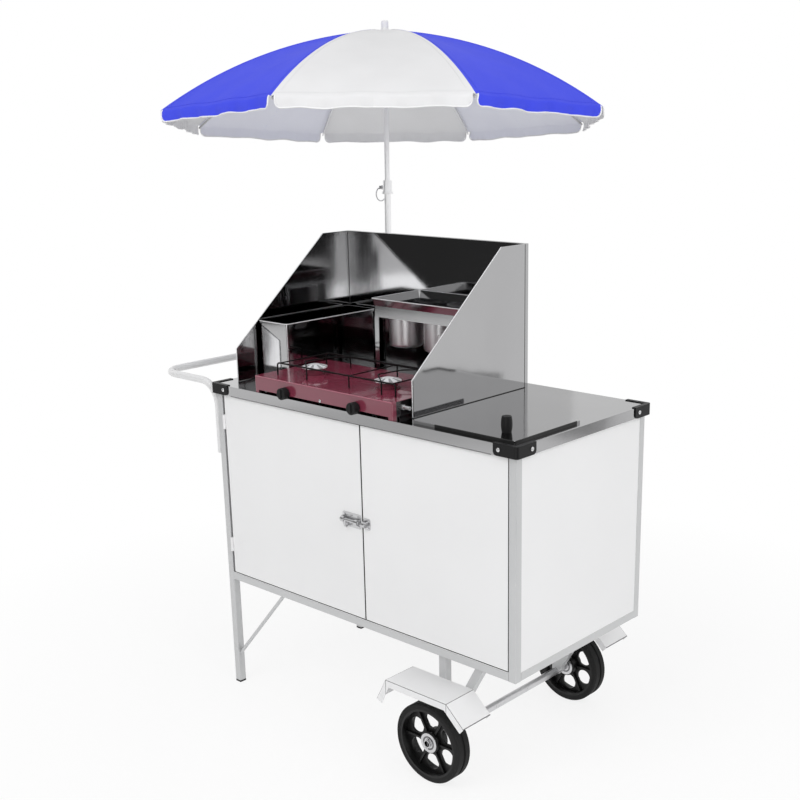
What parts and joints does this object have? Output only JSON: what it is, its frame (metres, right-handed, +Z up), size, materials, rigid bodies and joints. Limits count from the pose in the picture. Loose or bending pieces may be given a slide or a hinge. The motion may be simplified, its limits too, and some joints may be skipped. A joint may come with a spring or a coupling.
{
  "type": "food cart",
  "caption": "Street food cart with a steel counter and splash hood, table stove, pot rack, bin, sunk well, cupboard, push handle, wheels and a folding umbrella.",
  "frame": {"origin": "centre of the front left leg's foot on the floor", "axes": "+X to the wheel end along the counter, +Y from the front to the back, +Z up"},
  "size_m": [1.4835, 1.2172, 1.7455],
  "materials": {
    "frame_grey": "smooth grey paint on square tube",
    "white_sheet": "white powder coat",
    "white_tube": "gloss white paint on round tube",
    "stainless": "bright polished sheet",
    "black_plastic": "moulded, satin",
    "zinc": "zinc plated",
    "wheel_black": "moulded rim with a rubber tyre",
    "maroon": "gloss enamel",
    "burner_alloy": "turned",
    "black_wire": "satin black paint",
    "bracket_grey": "smooth grey paint",
    "white_plastic": "moulded",
    "rib_steel": "plated flat strip",
    "cloth": "woven, alternate blue and white gores"
  },
  "bodies": {
    "cart": {"corner_posts": "frame_grey", "frame_rails": "frame_grey", "frame_braces": "frame_grey", "body_panels": "white_sheet", "front_panel": "white_sheet", "fenders": "white_sheet", "hinge_pins": "white_sheet", "handle": "white_tube", "counter_top": "stainless", "left_shield": "stainless", "right_shield": "stainless", "back_shield": "stainless", "pot_rack": "stainless", "well_tub": "stainless", "leg_feet": "black_plastic", "corner_guards": "black_plastic", "latch_keeper": "zinc", "axle": "zinc", "gas_manifold": "zinc", "stove_body": "maroon", "burners": "burner_alloy", "pole_bracket": "bracket_grey"},
    "door_leaf": {"door": "white_sheet", "hinge_sleeves": "white_sheet", "latch_plate": "zinc"},
    "latch_bolt": {"latch_bolt": "zinc"},
    "front_wheel": {"front_wheel": "wheel_black"},
    "rear_wheel": {"rear_wheel": "wheel_black"},
    "left_knob": {"left_knob": "black_plastic"},
    "right_knob": {"right_knob": "black_plastic"},
    "pan_support": {"pan_support": "black_wire"},
    "side_bin": {"side_bin": "stainless"},
    "left_pot": {"left_pot": "stainless"},
    "right_pot": {"right_pot": "stainless"},
    "well_lid": {"well_lid": "stainless", "lid_knob": "black_plastic"},
    "umbrella_lower": {"lower_pole": "white_tube"},
    "lock_pin": {"lock_pin": "zinc"},
    "umbrella_upper": {"upper_pole": "white_tube", "rib_hub": "white_plastic", "finial": "white_plastic", "canopy": "cloth"},
    "runner": {"runner": "white_plastic"},
    "rib_1": {"rib_1": "rib_steel"},
    "stretcher_1": {"stretcher_1": "rib_steel"},
    "rib_2": {"rib_2": "rib_steel"},
    "stretcher_2": {"stretcher_2": "rib_steel"},
    "rib_3": {"rib_3": "rib_steel"},
    "stretcher_3": {"stretcher_3": "rib_steel"},
    "rib_4": {"rib_4": "rib_steel"},
    "stretcher_4": {"stretcher_4": "rib_steel"},
    "rib_5": {"rib_5": "rib_steel"},
    "stretcher_5": {"stretcher_5": "rib_steel"},
    "rib_6": {"rib_6": "rib_steel"},
    "stretcher_6": {"stretcher_6": "rib_steel"},
    "rib_7": {"rib_7": "rib_steel"},
    "stretcher_7": {"stretcher_7": "rib_steel"},
    "rib_8": {"rib_8": "rib_steel"},
    "stretcher_8": {"stretcher_8": "rib_steel"}
  },
  "joints": [
    {"name": "door_hinge", "type": "hinge", "parent": "cart", "child": "door_leaf", "pos_m": [0.0145, -0.011, 0.5729], "axis": [0, 0, -1], "range_deg": [0, 120]},
    {"name": "bolt_slide", "type": "slide", "parent": "door_leaf", "child": "latch_bolt", "axis": [1, 0, 0], "range_m": [0, 0.0245]},
    {"name": "front_wheel_spin", "type": "hinge", "parent": "cart", "child": "front_wheel", "pos_m": [0.75, -0.033, 0.0975], "axis": [0, 1, 0], "continuous": true},
    {"name": "rear_wheel_spin", "type": "hinge", "parent": "cart", "child": "rear_wheel", "pos_m": [0.75, 0.509, 0.0975], "axis": [0, 1, 0], "continuous": true},
    {"name": "left_knob_turn", "type": "hinge", "parent": "cart", "child": "left_knob", "pos_m": [0.269, -0.0175, 0.8565], "axis": [0, -1, 0], "range_deg": [0, 90]},
    {"name": "right_knob_turn", "type": "hinge", "parent": "cart", "child": "right_knob", "pos_m": [0.511, -0.0175, 0.8565], "axis": [0, -1, 0], "range_deg": [0, 90]},
    {"name": "support_lift", "type": "slide", "parent": "cart", "child": "pan_support", "axis": [0, 0, 1], "range_m": [0, 0.1]},
    {"name": "bin_lift", "type": "slide", "parent": "cart", "child": "side_bin", "axis": [0, 0, 1], "range_m": [0, 0.18]},
    {"name": "left_pot_lift", "type": "slide", "parent": "cart", "child": "left_pot", "axis": [0, 0, 1], "range_m": [0, 0.15]},
    {"name": "right_pot_lift", "type": "slide", "parent": "cart", "child": "right_pot", "axis": [0, 0, 1], "range_m": [0, 0.15]},
    {"name": "lid_lift", "type": "slide", "parent": "cart", "child": "well_lid", "axis": [0, 0, 1], "range_m": [0, 0.12]},
    {"name": "umbrella_swivel", "type": "hinge", "parent": "cart", "child": "umbrella_lower", "pos_m": [0.126, 0.491, 0.6], "axis": [-0.0563, 0.0708, 0.9959], "continuous": true},
    {"name": "umbrella_height", "type": "slide", "parent": "umbrella_lower", "child": "umbrella_upper", "axis": [-0.0563, 0.0708, 0.9959], "range_m": [0, 0.2]},
    {"name": "lock_pin_push", "type": "slide", "parent": "umbrella_lower", "child": "lock_pin", "axis": [0.9984, 0.004, 0.0562], "range_m": [0, 0.006]},
    {"name": "runner_slide", "type": "slide", "parent": "umbrella_upper", "child": "runner", "axis": [0.0563, -0.0708, -0.9959], "range_m": [0, 0.2727], "deforming": ["canopy"]},
    {"name": "rib_1_fold", "type": "hinge", "parent": "umbrella_upper", "child": "rib_1", "pos_m": [0.05702, 0.55746, 1.71118], "axis": [0.8958, -0.4368, 0.0817], "range_deg": [0, 48]},
    {"name": "stretcher_1_fold", "type": "hinge", "parent": "runner", "child": "stretcher_1", "pos_m": [0.0639, 0.55094, 1.63887], "axis": [-0.8958, 0.4368, -0.0817], "range_deg": [0, 48]},
    {"name": "rib_2_fold", "type": "hinge", "parent": "umbrella_upper", "child": "rib_2", "pos_m": [0.0677, 0.55681, 1.71183], "axis": [0.9451, 0.3252, 0.0303], "range_deg": [0, 48]},
    {"name": "stretcher_2_fold", "type": "hinge", "parent": "runner", "child": "stretcher_2", "pos_m": [0.07473, 0.55266, 1.63936], "axis": [-0.9451, -0.3252, -0.0303], "range_deg": [0, 48]},
    {"name": "rib_3_fold", "type": "hinge", "parent": "umbrella_upper", "child": "rib_3", "pos_m": [0.07573, 0.5639, 1.71178], "axis": [0.4408, 0.8968, -0.0389], "range_deg": [0, 48]},
    {"name": "stretcher_3_fold", "type": "hinge", "parent": "runner", "child": "stretcher_3", "pos_m": [0.0812, 0.56151, 1.6391], "axis": [-0.4408, -0.8968, 0.0389], "range_deg": [0, 48]},
    {"name": "rib_4_fold", "type": "hinge", "parent": "umbrella_upper", "child": "rib_4", "pos_m": [0.07643, 0.57456, 1.71106], "axis": [-0.3218, 0.943, -0.0853], "range_deg": [0, 48]},
    {"name": "stretcher_4_fold", "type": "hinge", "parent": "runner", "child": "stretcher_4", "pos_m": [0.07953, 0.57232, 1.63824], "axis": [0.3218, -0.943, 0.0853], "range_deg": [0, 48]},
    {"name": "rib_5_fold", "type": "hinge", "parent": "umbrella_upper", "child": "rib_5", "pos_m": [0.06936, 0.58256, 1.71009], "axis": [-0.8958, 0.4368, -0.0817], "range_deg": [0, 48]},
    {"name": "stretcher_5_fold", "type": "hinge", "parent": "runner", "child": "stretcher_5", "pos_m": [0.07069, 0.57876, 1.63728], "axis": [0.8958, -0.4368, 0.0817], "range_deg": [0, 48]},
    {"name": "rib_6_fold", "type": "hinge", "parent": "umbrella_upper", "child": "rib_6", "pos_m": [0.05869, 0.58321, 1.70944], "axis": [-0.9451, -0.3252, -0.0303], "range_deg": [0, 48]},
    {"name": "stretcher_6_fold", "type": "hinge", "parent": "runner", "child": "stretcher_6", "pos_m": [0.05986, 0.57704, 1.63679], "axis": [0.9451, 0.3252, 0.0303], "range_deg": [0, 48]},
    {"name": "rib_7_fold", "type": "hinge", "parent": "umbrella_upper", "child": "rib_7", "pos_m": [0.05065, 0.57613, 1.70949], "axis": [-0.4408, -0.8968, 0.0389], "range_deg": [0, 48]},
    {"name": "stretcher_7_fold", "type": "hinge", "parent": "runner", "child": "stretcher_7", "pos_m": [0.05339, 0.56818, 1.63705], "axis": [0.4408, 0.8968, -0.0389], "range_deg": [0, 48]},
    {"name": "rib_8_fold", "type": "hinge", "parent": "umbrella_upper", "child": "rib_8", "pos_m": [0.04996, 0.56546, 1.71021], "axis": [0.3218, -0.943, 0.0853], "range_deg": [0, 48]},
    {"name": "stretcher_8_fold", "type": "hinge", "parent": "runner", "child": "stretcher_8", "pos_m": [0.05506, 0.55737, 1.63792], "axis": [-0.3218, 0.943, -0.0853], "range_deg": [0, 48]}
  ],
  "couplings": [
    {"joint": "rib_1_fold", "follows": "runner_slide", "rad_per_m": 3.0719},
    {"joint": "stretcher_1_fold", "follows": "runner_slide", "rad_per_m": 3.0719},
    {"joint": "rib_2_fold", "follows": "runner_slide", "rad_per_m": 3.0719},
    {"joint": "stretcher_2_fold", "follows": "runner_slide", "rad_per_m": 3.0719},
    {"joint": "rib_3_fold", "follows": "runner_slide", "rad_per_m": 3.0719},
    {"joint": "stretcher_3_fold", "follows": "runner_slide", "rad_per_m": 3.0719},
    {"joint": "rib_4_fold", "follows": "runner_slide", "rad_per_m": 3.0719},
    {"joint": "stretcher_4_fold", "follows": "runner_slide", "rad_per_m": 3.0719},
    {"joint": "rib_5_fold", "follows": "runner_slide", "rad_per_m": 3.0719},
    {"joint": "stretcher_5_fold", "follows": "runner_slide", "rad_per_m": 3.0719},
    {"joint": "rib_6_fold", "follows": "runner_slide", "rad_per_m": 3.0719},
    {"joint": "stretcher_6_fold", "follows": "runner_slide", "rad_per_m": 3.0719},
    {"joint": "rib_7_fold", "follows": "runner_slide", "rad_per_m": 3.0719},
    {"joint": "stretcher_7_fold", "follows": "runner_slide", "rad_per_m": 3.0719},
    {"joint": "rib_8_fold", "follows": "runner_slide", "rad_per_m": 3.0719},
    {"joint": "stretcher_8_fold", "follows": "runner_slide", "rad_per_m": 3.0719}
  ]
}
